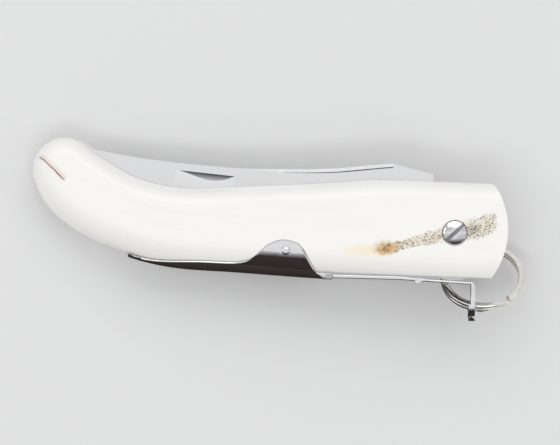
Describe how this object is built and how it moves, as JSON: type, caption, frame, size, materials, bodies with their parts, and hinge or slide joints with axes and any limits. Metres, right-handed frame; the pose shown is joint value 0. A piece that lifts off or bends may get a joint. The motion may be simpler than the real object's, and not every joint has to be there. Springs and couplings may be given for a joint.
{
  "type": "folding pocket knife",
  "caption": "Closed folding knife: one-piece bone handle with a sawn slot, upswept blade, outside back spring with a saddle, and a pull ring that lifts the lock.",
  "frame": {"origin": "under the middle of the knife's box, level with its lowest point, which is on the split ring", "axes": "+X along the handle from the butt to the pivot end, +Y from the back spring to the side that the blade opens from, +Z through the handle's thickness towards the screw's side"},
  "size_m": [0.1382, 0.0514, 0.0253],
  "materials": {
    "bone": "gloss",
    "blade_steel": "satin",
    "polished_steel": "polished",
    "ring_nickel": "polished",
    "washer_brass": "satin"
  },
  "bodies": {
    "grip": {"handle": "bone", "pivot_screw": "polished_steel", "pivot_nut": "polished_steel", "washer_near": "washer_brass", "washer_far": "washer_brass", "spring_saddle": "polished_steel", "saddle_rivet": "polished_steel"},
    "blade": {"blade": "blade_steel"},
    "leaf": {"spring_leaf": "polished_steel"},
    "ring": {"split_ring": "ring_nickel"}
  },
  "joints": [
    {"name": "blade_open", "type": "hinge", "parent": "grip", "child": "blade", "pos_m": [0.04913, -0.00098, 0.01631], "axis": [0, 0, -1], "range_deg": [0, 180]},
    {"name": "leaf_lift", "type": "hinge", "parent": "grip", "child": "leaf", "pos_m": [0.01483, -0.01308, 0.01631], "axis": [0, 0, -1], "range_deg": [0, 3], "stiffness_Nm_per_rad": 20, "springref_deg": -2.86},
    {"name": "ring_swing", "type": "hinge", "parent": "leaf", "child": "ring", "pos_m": [0.05428, -0.02098, 0.01631], "axis": [-1, 0, 0], "range_deg": [0, 210]}
  ]
}
